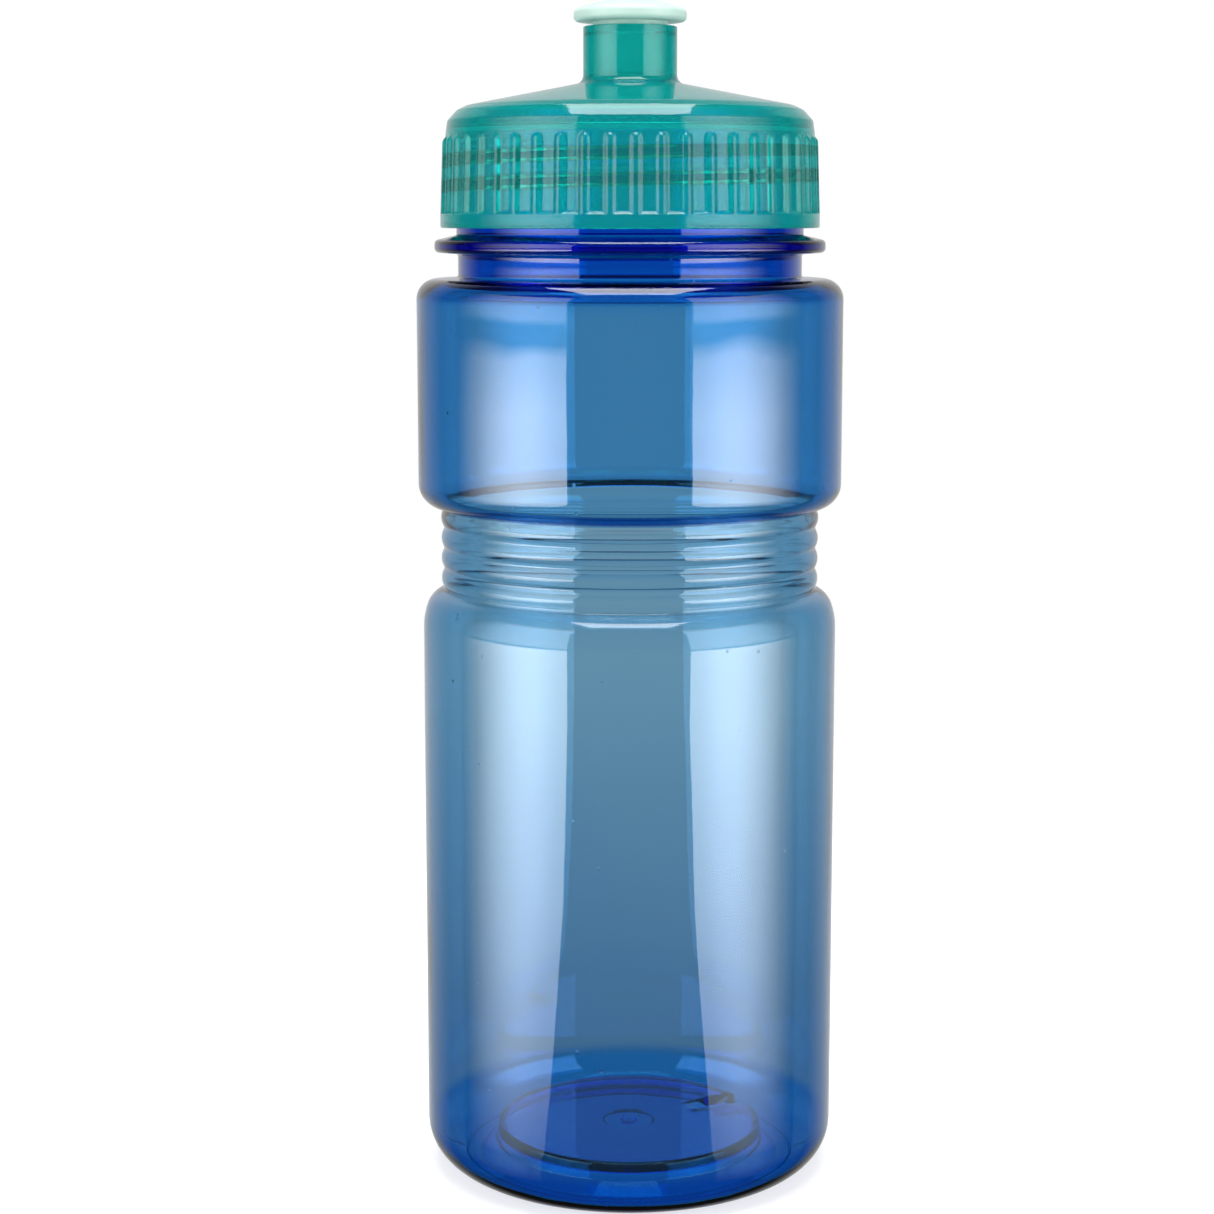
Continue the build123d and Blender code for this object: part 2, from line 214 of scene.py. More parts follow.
def rounded(corners, closed):
    """Points along an outline of (radius, z, rounding) corners, each rounding a sampled arc."""
    points = []
    count = len(corners)
    for i, (x, z, rounding) in enumerate(corners):
        at_end = not closed and i in (0, count - 1)
        if rounding == 0 or at_end:
            points.append((x, z))
            continue
        corner = Vector((x, z))
        back = (Vector(corners[i - 1][:2]) - corner).normalized()
        ahead = (Vector(corners[(i + 1) % count][:2]) - corner).normalized()
        half = back.angle(ahead) / 2
        centre = corner + (back + ahead).normalized() * (rounding / sin(half))
        start = corner + back * (rounding / tan(half)) - centre
        turn = start.angle_signed(corner + ahead * (rounding / tan(half)) - centre)
        steps = max(2, ceil(abs(degrees(turn)) / ARC_STEP))
        for k in range(steps + 1):
            a = -turn * k / steps
            out = start.x * cos(a) - start.y * sin(a)
            up = start.x * sin(a) + start.y * cos(a)
            point = centre + Vector((out, up))
            points.append((point.x, point.y))
    return points


def cut(points, closed, longest=lambda r, z: LONGEST_ROW):
    """The same outline with rows added, so that none is longer than longest(radius, z)."""
    fine = []
    ends = points[1:] + points[:1] if closed else points[1:]
    for (r0, z0), (r1, z1) in zip(points, ends):
        limit = longest((r0 + r1) / 2, (z0 + z1) / 2)
        steps = max(1, ceil(hypot(r1 - r0, z1 - z0) / limit - TINY))
        for k in range(steps):
            fine.append((r0 + (r1 - r0) * k / steps, z0 + (z1 - z0) * k / steps))
    if not closed:
        fine.append(points[-1])
    return fine


# ---------------------------------------------------------------- meshes

def ring(radius, z, segments, relief=None):
    """One row of a turned surface. relief(radius, z, angle) returns a point's real radius and z."""
    row = []
    for k in range(segments):
        angle = 2 * pi * k / segments
        r, height = relief(radius, z, angle) if relief else (radius, z)
        row.append((r * cos(angle) * MM, r * sin(angle) * MM, height * MM))
    return row


def row_at(radius, z, segments, relief=None):
    """A row, or the one point that it shrinks to on the axis."""
    if radius < TINY:
        return [(0, 0, z * MM)]
    return ring(radius, z, segments, relief)


def skin(rows, closed):
    """Vertices and faces of a surface through the rows, facing out where the rows run upwards. A
    row may have a whole fraction of its neighbour's points, or one point at a pole."""
    vertices = []
    starts = []
    for row in rows:
        starts.append(len(vertices))
        vertices += row
    faces = []
    count = len(rows)
    for i in range(count if closed else count - 1):
        j = (i + 1) % count
        faces += strip(starts[i], len(rows[i]), starts[j], len(rows[j]))
    return vertices, faces


def strip(a, na, b, nb):
    """Faces between a row of na points that starts at a and one of nb that starts at b."""
    n = min(na, nb)
    if n == 1:
        n = max(na, nb)
    faces = []
    for k in range(n):
        face = [a + i % na for i in span(k, na, n)]
        face += [b + i % nb for i in reversed(span(k, nb, n))]
        faces.append(face)
    return faces


def span(k, points, n):
    """The points of a row on side k of n."""
    if points == 1:
        return [0]
    step = points // n
    return list(range(k * step, (k + 1) * step + 1))


def make_mesh(name, parts):
    """One smooth object from (vertices, faces) parts."""
    vertices = []
    faces = []
    for part_vertices, part_faces in parts:
        offset = len(vertices)
        vertices += part_vertices
        faces += [[i + offset for i in face] for face in part_faces]
    mesh = bpy.data.meshes.new(name)
    mesh.from_pydata(vertices, [], faces)
    mesh.update()
    mesh.shade_smooth()
    piece = bpy.data.objects.new(name, mesh)
    bpy.context.scene.collection.objects.link(piece)
    return piece


def turned(corners, segments, closed=True, longest=lambda r, z: LONGEST_ROW):
    """Vertices and faces of a turned outline. An open outline starts and ends on the axis."""
    points = cut(rounded(corners, closed), closed, longest)
    ends = points[1:] + points[:1]
    area = sum(r0 * z1 - r1 * z0 for (r0, z0), (r1, z1) in zip(points, ends))
    if area < 0:
        points.reverse()
    return skin([row_at(r, z, segments) for r, z in points], closed)


def smooth_step(x):
    x = min(max(x, 0.0), 1.0)
    return x * x * (3 - 2 * x)


def thread_height(angle, z, front_z, start, end):
    """How far out of its wall a thread ridge stands at this angle and height, from 0 to 1."""
    azimuth = degrees(angle)
    turn = round((z - front_z) / PITCH - (azimuth + 90) / 360)
    total = azimuth + 360 * turn
    middle = front_z + PITCH * (total + 90) / 360
    fade_in = smooth_step((total - start) / THREAD_FADE)
    fade_out = smooth_step((end - total) / THREAD_FADE)
    flank = THREAD_ROOT_HALF_WIDTH - THREAD_CREST_HALF_WIDTH
    return smooth_step((THREAD_ROOT_HALF_WIDTH - abs(z - middle)) / flank) * (fade_in * fade_out)


# ---------------------------------------------------------------- bottle

def waist_ribs(wall):
    """Corners of the waist's ribs, from the top down, this wall inside the outer surface."""
    step = (WAIST_TOP_Z - WAIST_BOTTOM_Z) / WAIST_RIBS
    corners = []
    for i in range(WAIST_RIBS):
        top = WAIST_TOP_Z - i * step
        if i > 0:
            corners.append((WAIST_VALLEY_RADIUS - wall, top, WAIST_VALLEY_ROUND + wall))
        corners.append((WAIST_RIB_APEX - wall, top - step / 2, WAIST_RIB_ROUND - wall))
    return corners


def bottle_outside():
    """Corners of the bottle's outer surface, from the rim down to the middle of the base."""
    ring_undercut = 0.3
    band_undercut = 0.1
    gate_slope = 0.3
    return [
        (NECK_BORE_RADIUS, RIM_Z, SMALL),
        (NECK_RADIUS, RIM_Z, EASED),
        (NECK_RADIUS, RING_TOP_Z, SMALL),
        (RING_RADIUS, RING_TOP_Z - RING_BEVEL, SOFT),
        (RING_RADIUS, RING_BOTTOM_Z, SOFT),
        (THROAT_RADIUS, RING_BOTTOM_Z - ring_undercut, EASED),
        (THROAT_RADIUS, SHOULDER_Z + SHOULDER_RISE, EASED),
        (BAND_RADIUS, SHOULDER_Z, SHOULDER_ROUND),
        (BAND_RADIUS, BAND_BOTTOM_Z, BAND_FOOT_ROUND),
        (WAIST_VALLEY_RADIUS, BAND_BOTTOM_Z - band_undercut, SMALL),
        *waist_ribs(0),
        (WAIST_VALLEY_RADIUS, WAIST_BOTTOM_Z, WAIST_FOOT_ROUND),
        (BODY_RADIUS - FLARE_STEP, WAIST_BOTTOM_Z - FLARE_KNEE_DROP, FLARE_KNEE_ROUND),
        (BODY_RADIUS, WAIST_BOTTOM_Z - FLARE_FOOT_DROP, FLARE_FOOT_ROUND),
        (BODY_RADIUS, 0, HEEL_ROUND),
        (LAND_INNER_RADIUS, 0, SOFT),
        (PLATFORM_RADIUS + STEP_DRAFT, STEP_FOOT_Z, SMALL),
        (PLATFORM_RADIUS, PLATFORM_Z, EASED),
        (GATE_RADIUS, PLATFORM_Z, FINE),
        (GATE_RADIUS - gate_slope, PLATFORM_Z + GATE_DEPTH, FINE),
        (GATE_PIP_RADIUS + gate_slope, PLATFORM_Z + GATE_DEPTH, FINE),
        (GATE_PIP_RADIUS, PLATFORM_Z - GATE_PIP_DROP, FINE),
        (0, PLATFORM_Z - GATE_PIP_DROP, 0),
    ]


def bottle_inside():
    """Corners of the bottle's inner surface, from the middle of the base up to the rim."""
    base_top = PLATFORM_Z + BASE_WALL
    moat_radius = LAND_INNER_RADIUS + 0.6
    step_lean = 1.5
    body_bore = BODY_RADIUS - BODY_WALL
    band_bore = BAND_RADIUS - BAND_WALL
    waist_bore = WAIST_VALLEY_RADIUS - WAIST_WALL
    foot_z = WAIST_BOTTOM_Z - FLARE_FOOT_DROP
    knee_z = WAIST_BOTTOM_Z - FLARE_KNEE_DROP
    return [
        (0, base_top, 0),
        (PLATFORM_RADIUS + step_lean - STEP_DRAFT, base_top, SOFT),
        (PLATFORM_RADIUS + step_lean, STEP_FOOT_Z + HEEL_WALL, SOFT),
        (moat_radius, HEEL_WALL, SOFT),
        (body_bore, HEEL_WALL, HEEL_ROUND - HEEL_WALL),
        (body_bore, foot_z - BODY_WALL / 2, FLARE_FOOT_ROUND - BODY_WALL),
        (body_bore - FLARE_STEP, knee_z - BODY_WALL, FLARE_KNEE_ROUND - BODY_WALL),
        (waist_bore, WAIST_BOTTOM_Z - WAIST_WALL / 2, WAIST_FOOT_ROUND + EASED),
        *reversed(waist_ribs(WAIST_WALL)),
        (waist_bore, BAND_BOTTOM_Z + BAND_WALL, SOFT),
        (band_bore, BAND_BOTTOM_Z + BAND_WALL, BAND_FOOT_ROUND - BAND_WALL),
        (band_bore, SHOULDER_Z - SHOULDER_WALL, SHOULDER_ROUND - BAND_WALL),
        (NECK_BORE_RADIUS, SHOULDER_Z - SHOULDER_WALL + SHOULDER_RISE, 2 * SOFT),
    ]


def notch_share(radius, angle):
    """How far into the base's indexing notch this point is, from 0 to 1."""
    away = angle - radians(INDEX_NOTCH_ANGLE)
    along = radius * cos(away)
    across = abs(radius * sin(away))
    inner = PLATFORM_RADIUS + STEP_DRAFT - INDEX_NOTCH_LENGTH
    share = smooth_step((along - inner) / INDEX_NOTCH_EDGE)
    return share * smooth_step((INDEX_NOTCH_WIDTH / 2 - across) / INDEX_NOTCH_EDGE)


def unevenness(z, angle, size):
    """The slow waviness of a blow-moulded wall: waves round the bottle that drift with height."""
    waves = 0
    for share, count, drift, phase in UNEVEN_WAVES:
        waves += share * sin(count * angle + z / drift + phase)
    return size * waves


def bottle_relief(inside):
    """The relief of the bottle's outer or inner surface: thread, notch and uneven walls."""
    body_top = SHOULDER_Z - SHOULDER_ROUND
    size = UNEVEN_INSIDE if inside else UNEVEN_OUTSIDE
    notch_floor_z = STEP_FOOT_Z + (INDEX_NOTCH_WALL if inside else 0)
    base_top = PLATFORM_Z + BASE_WALL
    base_edge = PLATFORM_RADIUS + 2 * STEP_DRAFT + EASED

    def relief(radius, z, angle):
        if not inside and z > RING_TOP_Z:
            height = thread_height(
                angle, z, NECK_THREAD_FRONT_Z, NECK_THREAD_START, NECK_THREAD_END)
            return radius + THREAD_HEIGHT * height, z
        if z <= base_top + CRISP and radius < base_edge:
            return radius, z - max(z - notch_floor_z, 0) * notch_share(radius, angle)
        if HEEL_ROUND < z < body_top:
            fade_low = smooth_step((z - HEEL_ROUND) / UNEVEN_FADE_LOW)
            fade_high = smooth_step((body_top - z) / UNEVEN_FADE_HIGH)
            return radius + unevenness(z, angle, size * (fade_low * fade_high)), z
        return radius, z

    return relief


def bottle_rows(radius, z):
    """The longest row allowed here: short ones on the thread and round the base's notch."""
    if z > RING_TOP_Z and radius > NECK_BORE_RADIUS + EASED:
        return RELIEF_ROW
    if z < PLATFORM_Z + BASE_WALL + CRISP and NOTCH_ROWS[0] < radius < NOTCH_ROWS[1]:
        return 2 * RELIEF_ROW
    return LONGEST_ROW


def make_bottle():
    """The outer surface down to the axis, then the inner one back up to the rim."""
    outline = rounded(bottle_outside() + bottle_inside(), True)
    inner_start = outline.index((0, PLATFORM_Z - GATE_PIP_DROP)) + 1
    outer = outline[:inner_start]
    inner = outline[inner_start:] + outline[:1]
    rows = []
    for points, is_inside in ((outer, False), (inner, True)):
        relief = bottle_relief(is_inside)
        for r, z in cut(points, False, bottle_rows):
            rows.append(row_at(r, z, BOTTLE_SEGMENTS, relief))
    rows.pop()
    vertices, faces = skin(rows[::-1], True)
    faces = [face for face in faces if len(set(face)) > 2]
    return make_mesh("bottle_moulding", [(vertices, faces)])


# ---------------------------------------------------------------- cap

def rib_relief(radius, z, angle):
    """The skirt with its grip ribs: round bars with domed tops that lean in with the skirt."""
    pitch = 2 * pi / GRIP_RIBS
    away = (angle - radians(GRIP_RIB_PHASE)) / pitch
    across = (away - round(away)) * pitch * radius
    rise = GRIP_RIB_TOP_Z - CAP_BAND_TOP_Z
    lean = (SKIRT_RADIUS - SKIRT_TOP_RADIUS) * (z - CAP_BAND_TOP_Z) / rise
    above = max(0.0, z - (GRIP_RIB_TOP_Z - GRIP_RIB_RADIUS))
    left = GRIP_RIB_RADIUS ** 2 - across ** 2 - above ** 2
    if left <= 0:
        return radius, z
    bar = CAP_BAND_RADIUS - GRIP_RIB_RADIUS - lean + sqrt(left)
    blend = max(0.0, GRIP_RIB_BLEND - abs(bar - radius)) / GRIP_RIB_BLEND
    return max(bar, radius) + blend ** 2 * GRIP_RIB_BLEND / 4, z


def bore_relief(radius, z, angle):
    """The cap's bore with its thread, which lies between the neck thread's turns."""
    front_z = NECK_THREAD_FRONT_Z - PITCH / 2
    height = thread_height(angle, z, front_z, CAP_THREAD_START, CAP_THREAD_END)
    return radius - THREAD_HEIGHT * height, z


def cap_corners():
    """Corners round the cap's wall: down its outside from the tower's top, then up its inside."""
    deck_z = DECK_Z_AT_TOWER - DECK_SLOPE * (DECK_OUTER_RADIUS - TOWER_RADIUS)
    foot_radius = TOWER_BORE_RADIUS + TOWER_FOOT_WALL
    return [
        (TOWER_LIP_RADIUS, TOWER_TOP_Z, FINE),
        (TOWER_RADIUS, TOWER_TOP_Z, FINE),
        (TOWER_RADIUS, DECK_Z_AT_TOWER, TOWER_FOOT_ROUND),
        (DECK_OUTER_RADIUS, deck_z, DECK_OUTER_ROUND),
        (DECK_EDGE_RADIUS, DECK_EDGE_Z, EASED),
        (EDGE_BAND_RADIUS, EDGE_BAND_Z, SOFT),
        (SKIRT_TOP_RADIUS, SKIRT_TOP_Z, SOFT),
        (SKIRT_RADIUS, CAP_BAND_TOP_Z + EASED, 0),
        (CAP_BAND_RADIUS, CAP_BAND_TOP_Z, FINE),
        (CAP_BAND_RADIUS, CAP_BOTTOM_Z, SMALL),
        (CAP_BORE_RADIUS + SMALL, CAP_BOTTOM_Z, FINE),
        (CAP_BORE_RADIUS, CAP_BOTTOM_Z + BORE_CHAMFER, 0),
        (CAP_BORE_RADIUS, CAP_SEAT_Z, FINE),
        (INNER_DECK_RADIUS, CAP_SEAT_Z, SMALL),
        (INNER_DECK_RADIUS, deck_z - DECK_WALL - SOFT, SOFT),
        (foot_radius, SPIDER_BOTTOM_Z + DECK_WALL, SOFT),
        (foot_radius, SPIDER_BOTTOM_Z, SMALL),
        (TOWER_BORE_RADIUS, SPIDER_BOTTOM_Z, 0),
        (TOWER_BORE_RADIUS, TOWER_LIP_Z, CRISP),
        (TOWER_LIP_RADIUS, TOWER_LIP_Z + EASED, CRISP),
    ]


def cap_rows(radius, z):
    """The longest row allowed here: short ones on the grip ribs and the thread."""
    if radius > CAP_BORE_RADIUS - EASED and z < SKIRT_TOP_Z - SOFT:
        return FINE if z > GRIP_RIB_TOP_Z - 1.5 * GRIP_RIB_RADIUS else RELIEF_ROW
    return LONGEST_ROW


def cap_shell():
    """The skirt with its ribs and thread, the deck and the tower's tube, as one closed surface."""
    rows = []
    outside = True
    for r, z in cut(rounded(cap_corners(), True), True, cap_rows):
        if z <= CAP_BOTTOM_Z + CRISP:
            outside = False
        on_skirt = outside and CAP_BAND_TOP_Z - SMALL < z < SKIRT_TOP_Z - FINE
        in_bore = not outside and r > CAP_BORE_RADIUS - FINE and z < CAP_SEAT_Z - FINE
        if on_skirt:
            rows.append(ring(r, z, GRIP_RIBS * RIB_SEGMENTS, rib_relief))
        elif in_bore:
            rows.append(ring(r, z, CAP_SEGMENTS, bore_relief))
        else:
            rows.append(ring(r, z, CAP_SEGMENTS))
    return skin(rows[::-1], True)


def spider_arm(angle):
    """One arm between the post and the tower's wall, with a rounded underside."""
    inner, outer = POST_RADIUS - SMALL, TOWER_BORE_RADIUS + TOWER_FOOT_WALL / 2
    half = SPIDER_ARM_WIDTH / 2
    section = [(-half, SPIDER_TOP_Z), (half, SPIDER_TOP_Z)]
    for k in range(SPIDER_ARM_STEPS + 1):
        a = pi * k / SPIDER_ARM_STEPS
        section.append((half * cos(a), SPIDER_BOTTOM_Z + half - half * sin(a)))
    vertices = []
    for r in (inner, outer):
        for across, z in section:
            x = r * cos(angle) - across * sin(angle)
            y = r * sin(angle) + across * cos(angle)
            vertices.append((x * MM, y * MM, z * MM))
    n = len(section)
    faces = [[i, (i + 1) % n, n + (i + 1) % n, n + i] for i in range(n)]
    faces += [list(range(n))[::-1], list(range(n, 2 * n))]
    return vertices, faces


def make_cap():
    post = turned([
        (0, SPIDER_BOTTOM_Z - POST_FOOT_DROP, 0),
        (POST_RADIUS - SOFT, SPIDER_BOTTOM_Z - POST_FOOT_DROP, EASED),
        (POST_RADIUS, SPIDER_BOTTOM_Z + EASED, SMALL),
        (POST_RADIUS, POST_SHOULDER_Z, EASED),
        (POST_TIP_RADIUS, POST_SHOULDER_Z + EASED, SMALL),
        (POST_TIP_RADIUS, POST_TIP_Z, SMALL),
        (0, POST_TIP_Z, 0),
    ], NOZZLE_SEGMENTS, closed=False)
    arms = []
    for i in range(SPIDER_ARMS):
        arms.append(spider_arm(radians(SPIDER_PHASE) + 2 * pi * i / SPIDER_ARMS))
    return make_mesh("cap_moulding", [cap_shell(), post, *arms])


# ---------------------------------------------------------------- gasket and nozzle

def make_gasket():
    bottom = RIM_Z + GASKET_CLEARANCE
    top = CAP_SEAT_Z - GASKET_CLEARANCE
    return make_mesh("gasket_ring", [turned([
        (GASKET_INNER_RADIUS, bottom, CRISP),
        (GASKET_INNER_RADIUS, top, CRISP),
        (GASKET_OUTER_RADIUS, top, CRISP),
        (GASKET_OUTER_RADIUS, bottom, CRISP),
    ], CAP_SEGMENTS)])


def seal_rings():
    """Corners of the rings round the nozzle's foot, from the bottom up."""
    corners = []
    for i in range(SEAL_RIBS):
        low = NOZZLE_BOTTOM_Z + SMALL + i * SEAL_RIB_PITCH
        high = low + SEAL_RIB_HEIGHT
        draft = SEAL_RIB_HEIGHT / 4
        corners += [
            (NOZZLE_RADIUS, low, 0),
            (SEAL_RIB_RADIUS, low + draft, draft),
            (SEAL_RIB_RADIUS, high - draft, draft),
            (NOZZLE_RADIUS, high, 0),
        ]
    return corners


def make_nozzle():
    return make_mesh("nozzle_moulding", [turned([
        (NOZZLE_BORE_RADIUS, NOZZLE_BOTTOM_Z, CRISP),
        (NOZZLE_RADIUS, NOZZLE_BOTTOM_Z, 0),
        *seal_rings(),
        (NOZZLE_RADIUS, NOZZLE_FLANGE_Z, FINE),
        (NOZZLE_FLANGE_RADIUS, NOZZLE_FLANGE_Z, SOFT),
        (NOZZLE_FLANGE_RADIUS, NOZZLE_FLANGE_Z + NOZZLE_FLANGE_THICKNESS, SOFT),
        (NOZZLE_FLANGE_RADIUS / 2, NOZZLE_TOP_Z - NOZZLE_DOME_DROP, NOZZLE_DOME_ROUND),
        (NOZZLE_HOLE_RADIUS, NOZZLE_TOP_Z, SMALL),
        (NOZZLE_HOLE_RADIUS, NOZZLE_ROOF_Z, FINE),
        (NOZZLE_BORE_RADIUS - SOFT, NOZZLE_ROOF_Z - FINE, FINE),
        (NOZZLE_BORE_RADIUS, NOZZLE_ROOF_Z - NOZZLE_ROOF_TAPER, SOFT),
    ], NOZZLE_SEGMENTS, longest=lambda r, z: NOZZLE_ROW)])


# ---------------------------------------------------------------- materials

BOTTLE_IOR = 1.57
CAP_IOR = 1.49
NOZZLE_IOR = 1.5
SILICONE_IOR = 1.41
BOTTLE_CLARITY = 1.0
CAP_CLARITY = 0.82
NOZZLE_CLARITY = 0.35
SILICONE_CLARITY = 0.8
CLEAR = (1.0, 1.0, 1.0)
BOTTLE_TINTS = (              # height in millimetres, colour
    (0.0, (0.03, 0.51, 1.0)),
    (6.7, (0.03, 0.51, 1.0)),
    (9.0, (0.75, 0.85, 1.0)),
    (30.0, (0.8, 0.88, 1.0)),
    (85.0, CLEAR),
    (151.0, CLEAR),
    (156.2, (0.25, 0.75, 1.0)),
    (158.0, (0.02, 0.66, 1.0)),
    (181.0, (0.02, 0.55, 1.0)),
)
BOTTLE_DYE = (0.2, 0.72, 0.96)
BOTTLE_DYE_DENSITY = 1500
CAP_TINTS = ((0.008, 0.75, 0.71), (0.016, 0.82, 0.78))
CAP_THREAD_TINT = (0.02, 0.56, 0.48)
THREAD_BAND_CORE = 0.75       # share of the thread's half width that has its full tint
CAP_DYE = (0.0, 0.86, 0.86)
CAP_DYE_DENSITY = 900
NOZZLE_TINTS = ((0.62, 0.86, 0.77), (0.75, 0.93, 0.86))
SILICONE_TINT = (0.9, 0.95, 0.95)
DUST_SPACING = 0.005
DUST_SIZE = 0.00035
DUST_SHARE = 0.35             # of the cells that hold a speck
DUST_ROUGHNESS = 0.5


def new_material(name, clarity, ior):
    """A material that lets this share of the light in, its nodes and its shader."""
    material = bpy.data.materials.new(name)
    material.use_nodes = True
    tree = material.node_tree
    shader = tree.nodes["Principled BSDF"]
    shader.inputs["Transmission Weight"].default_value = clarity
    shader.inputs["IOR"].default_value = ior
    return material, tree, shader


def place_on_object(tree):
    return tree.nodes.new("ShaderNodeTexCoord").outputs["Object"]


def object_axes(tree):
    """x, y and z in the object's own space, in metres."""
    split = tree.nodes.new("ShaderNodeSeparateXYZ")
    tree.links.new(place_on_object(tree), split.inputs["Vector"])
    return [split.outputs[axis] for axis in "XYZ"]


def noise(tree, scale, detail=2.0, stretch=(1, 1, 1)):
    """Noise with this many features per metre, squeezed along each axis by stretch."""
    mapping = tree.nodes.new("ShaderNodeMapping")
    mapping.inputs["Scale"].default_value = stretch
    tree.links.new(place_on_object(tree), mapping.inputs["Vector"])
    texture = tree.nodes.new("ShaderNodeTexNoise")
    texture.inputs["Scale"].default_value = scale
    texture.inputs["Detail"].default_value = detail
    tree.links.new(mapping.outputs["Vector"], texture.inputs["Vector"])
    return texture.outputs["Fac"]


def ranged(tree, value, low, high, to_low, to_high):
    """value's range from low to high, mapped to to_low and to_high and held there beyond it."""
    node = tree.nodes.new("ShaderNodeMapRange")
    node.inputs["From Min"].default_value = low
    node.inputs["From Max"].default_value = high
    node.inputs["To Min"].default_value = to_low
    node.inputs["To Max"].default_value = to_high
    tree.links.new(value, node.inputs["Value"])
    return node.outputs["Result"]


def bump(tree, height, strength, distance, normal=None):
    """The surface raised by height times distance, over an earlier bump's normal if given."""
    node = tree.nodes.new("ShaderNodeBump")
    node.inputs["Strength"].default_value = strength
    node.inputs["Distance"].default_value = distance
    tree.links.new(height, node.inputs["Height"])
    if normal is not None:
        tree.links.new(normal, node.inputs["Normal"])
    return node.outputs["Normal"]


def maths(tree, operation, a, b=0.0, c=0.0):
    """A math node; a, b and c are numbers or sockets."""
    node = tree.nodes.new("ShaderNodeMath")
    node.operation = operation
    for socket, value in zip(node.inputs, (a, b, c)):
        if isinstance(value, (int, float)):
            socket.default_value = value
        else:
            tree.links.new(value, socket)
    return node.outputs["Value"]


def colour_mix(tree, share, first, second):
    """A blend of two colours; first is a colour or a socket."""
    node = tree.nodes.new("ShaderNodeMix")
    node.data_type = "RGBA"
    if isinstance(first, tuple):
        node.inputs["A"].default_value = (*first, 1)
    else:
        tree.links.new(first, node.inputs["A"])
    node.inputs["B"].default_value = (*second, 1)
    tree.links.new(share, node.inputs["Factor"])
    return node.outputs["Result"]


def dust_specks(tree):
    """1 in the middle of each small speck of dust, 0 away from them."""
    cells = tree.nodes.new("ShaderNodeTexVoronoi")
    cells.inputs["Scale"].default_value = 1 / DUST_SPACING
    tree.links.new(place_on_object(tree), cells.inputs["Vector"])
    spot = ranged(tree, cells.outputs["Distance"], DUST_SIZE / DUST_SPACING, 0, 0, 1)
    pick = tree.nodes.new("ShaderNodeSeparateColor")
    tree.links.new(cells.outputs["Color"], pick.inputs["Color"])
    chosen = maths(tree, "LESS_THAN", pick.outputs["Red"], DUST_SHARE)
    return maths(tree, "MULTIPLY", spot, chosen)


def parting_lines(tree):
    """The mould's fine ridges: down both sides, and round the insert that formed the base."""
    x, y, z = object_axes(tree)
    half_width = SEAM_WIDTH / 2 * MM
    on_side = maths(tree, "GREATER_THAN", maths(tree, "ABSOLUTE", x), NECK_RADIUS * MM)
    seam = ranged(tree, maths(tree, "ABSOLUTE", y), half_width, 0, 0, 1)
    seam = maths(tree, "MULTIPLY", seam, on_side)
    square = maths(tree, "ADD", maths(tree, "MULTIPLY", x, x), maths(tree, "MULTIPLY", y, y))
    away = maths(tree, "SUBTRACT", maths(tree, "SQRT", square), INSERT_RADIUS * MM)
    on_base = maths(tree, "LESS_THAN", z, PLATFORM_Z * MM)
    insert_line = ranged(tree, maths(tree, "ABSOLUTE", away), half_width, 0, 0, 1)
    insert_line = maths(tree, "MULTIPLY", insert_line, on_base)
    return maths(tree, "MAXIMUM", seam, insert_line)


def absorb(tree, colour, density):
    """Tints what passes through by its depth: density is per metre where colour is black."""
    node = tree.nodes.new("ShaderNodeVolumeAbsorption")
    node.inputs["Color"].default_value = (*colour, 1)
    node.inputs["Density"].default_value = density
    tree.links.new(node.outputs["Volume"], tree.nodes["Material Output"].inputs["Volume"])


def height_mix(tree, stops):
    """A colour that changes with height: stops are (millimetres, colour), from the bottom up."""
    low, high = stops[0][0], stops[-1][0]
    share = ranged(tree, object_axes(tree)[2], low * MM, high * MM, 0, 1)
    ramp = tree.nodes.new("ShaderNodeValToRGB")
    elements = ramp.color_ramp.elements
    while len(elements) < len(stops):
        elements.new(0.5)
    for element, (z, colour) in zip(elements, stops):
        element.position = (z - low) / (high - low)
        element.color = (*colour, 1)
    tree.links.new(share, ramp.inputs["Fac"])
    return ramp.outputs["Color"]


def bottle_plastic():
    """Clear blue PET: sharp gloss, slow ripples from blowing, a little handling wear, and a deeper
    tint where the plastic was stretched least, in the base and the neck."""
    material, tree, shader = new_material("blue_bottle_plastic", BOTTLE_CLARITY, BOTTLE_IOR)
    tree.links.new(height_mix(tree, BOTTLE_TINTS), shader.inputs["Base Color"])
    ripple = noise(tree, 90, detail=1.0, stretch=(1, 1, 0.35))
    dust = dust_specks(tree)
    normal = bump(tree, ripple, strength=0.12, distance=0.0006)
    normal = bump(tree, parting_lines(tree), strength=0.6, distance=0.0001, normal=normal)
    normal = bump(tree, dust, strength=0.5, distance=0.0001, normal=normal)
    tree.links.new(normal, shader.inputs["Normal"])
    scuffs = noise(tree, 900, detail=3.0, stretch=(1, 1, 0.15))
    rough = ranged(tree, scuffs, 0.55, 0.8, to_low=0.008, to_high=0.05)
    rough = maths(tree, "MAXIMUM", rough, maths(tree, "MULTIPLY", dust, DUST_ROUGHNESS))
    tree.links.new(rough, shader.inputs["Roughness"])
    absorb(tree, BOTTLE_DYE, BOTTLE_DYE_DENSITY)
    return material


